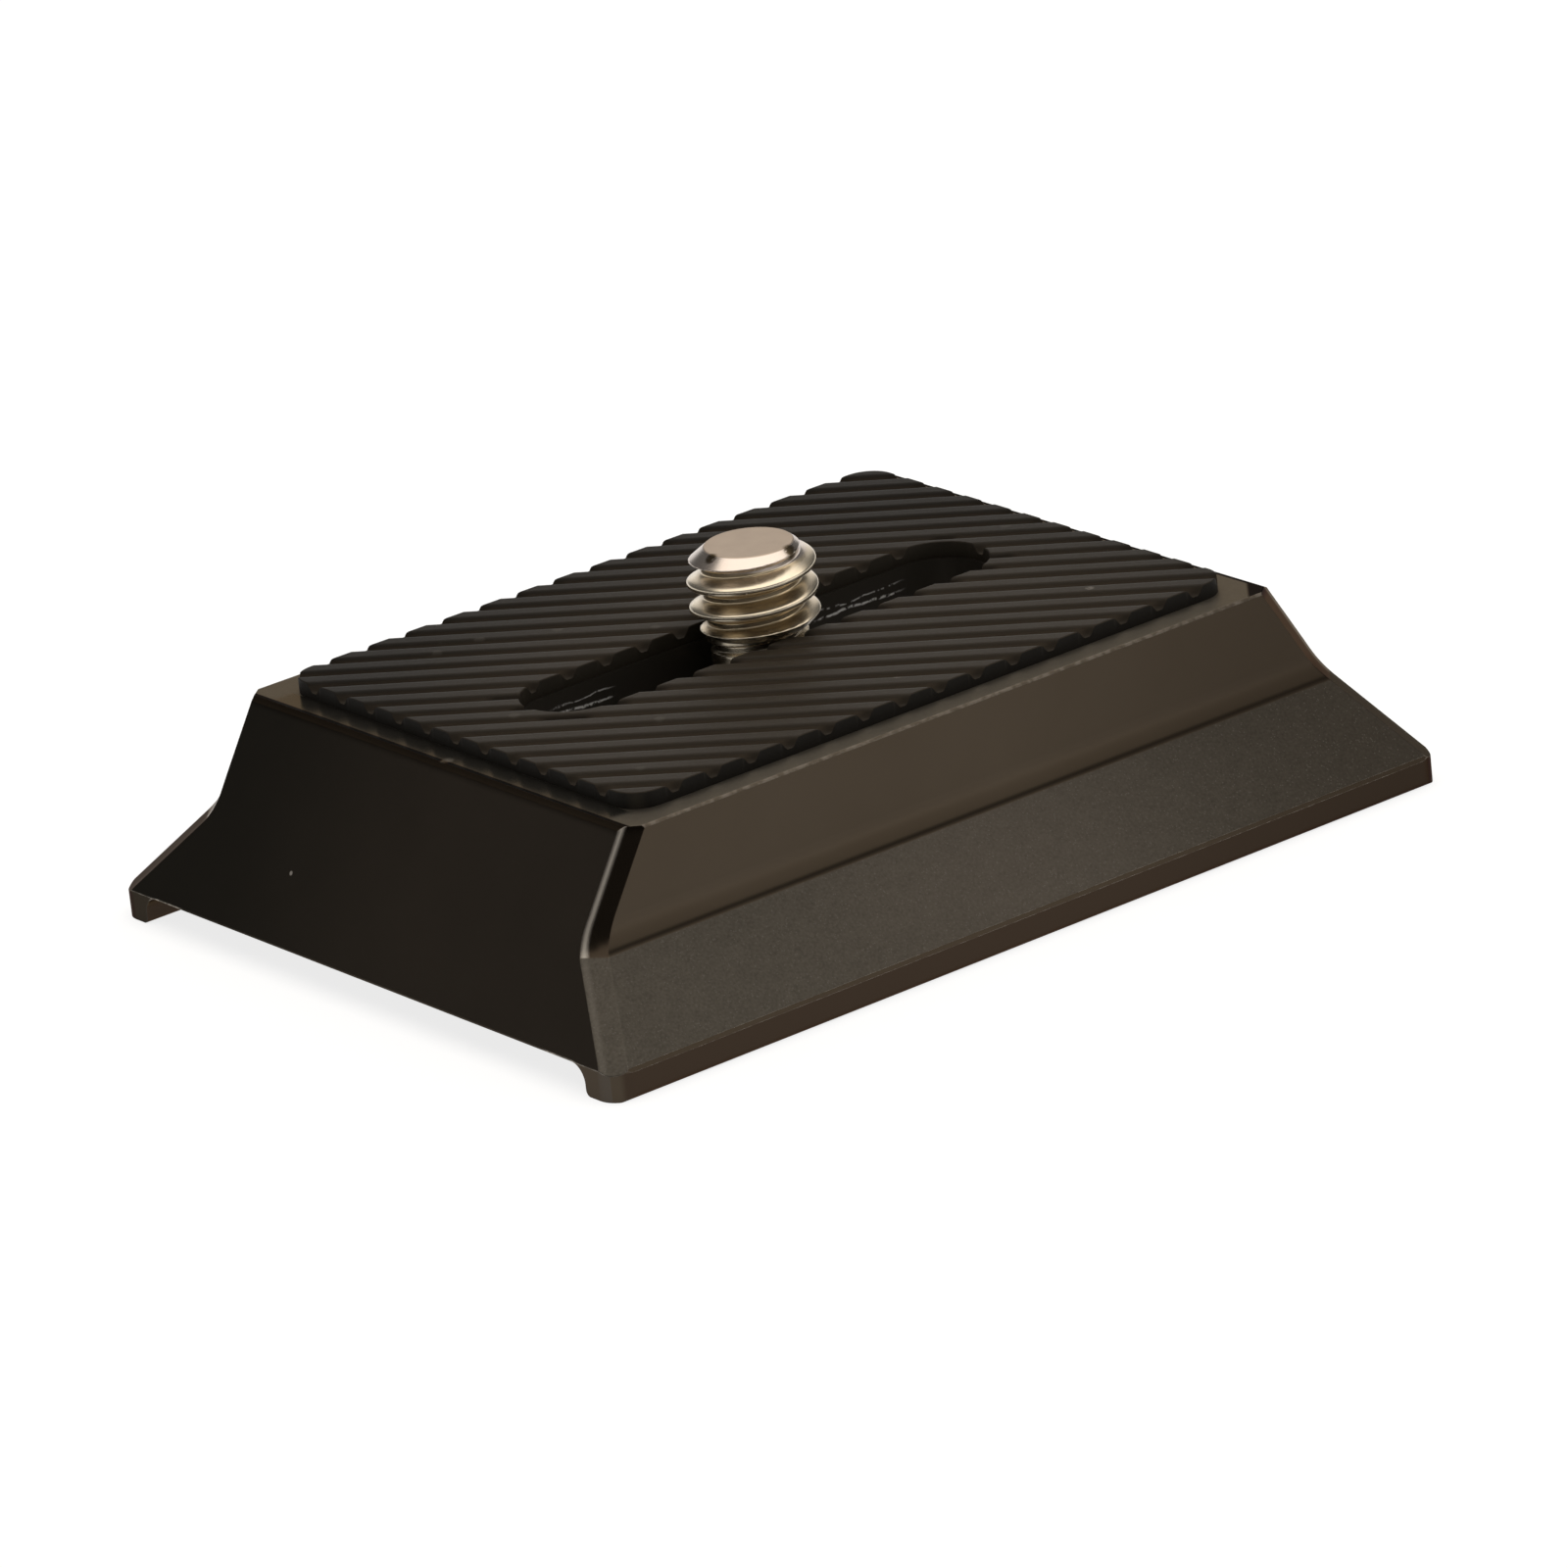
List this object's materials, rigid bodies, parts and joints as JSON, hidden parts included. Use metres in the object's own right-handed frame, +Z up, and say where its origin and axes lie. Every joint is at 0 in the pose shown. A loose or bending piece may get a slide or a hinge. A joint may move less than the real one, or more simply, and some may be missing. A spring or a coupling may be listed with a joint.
{
  "type": "tripod quick release plate",
  "caption": "Dovetail plate with leaning ends, a diagonally ribbed rubber grip pad and a captive camera screw that slides in a slot, for clamping a camera to a tripod head.",
  "frame": {"origin": "middle of the plate on the surface that its foot rails stand on", "axes": "+X along the slot and the dovetail, +Y across the plate, +Z up along the camera screw"},
  "size_m": [0.05, 0.0388, 0.0154],
  "materials": {
    "black_anodised_aluminium": "bead blasted and anodised black",
    "black_rubber": "matt, ribbed",
    "bright_steel": "turned and polished",
    "black_nylon": "matt",
    "steel_wire": "drawn wire"
  },
  "bodies": {
    "plate": {"plate_body": "black_anodised_aluminium", "grip_pad": "black_rubber"},
    "slider": {"thrust_washer": "black_nylon"},
    "screw": {"camera_screw": "bright_steel"},
    "ring": {"d_ring": "steel_wire"}
  },
  "joints": [
    {"name": "screw_slide", "type": "slide", "parent": "plate", "child": "slider", "axis": [1, 0, 0], "range_m": [-0.0109, 0.0109]},
    {"name": "screw_turn", "type": "hinge", "parent": "slider", "child": "screw", "pos_m": [0, 0, 0.005], "axis": [0, 0, 1], "continuous": true},
    {"name": "ring_fold", "type": "hinge", "parent": "screw", "child": "ring", "pos_m": [0, 0, 0.005], "axis": [-1, 0, 0], "range_deg": [0, 180]}
  ]
}
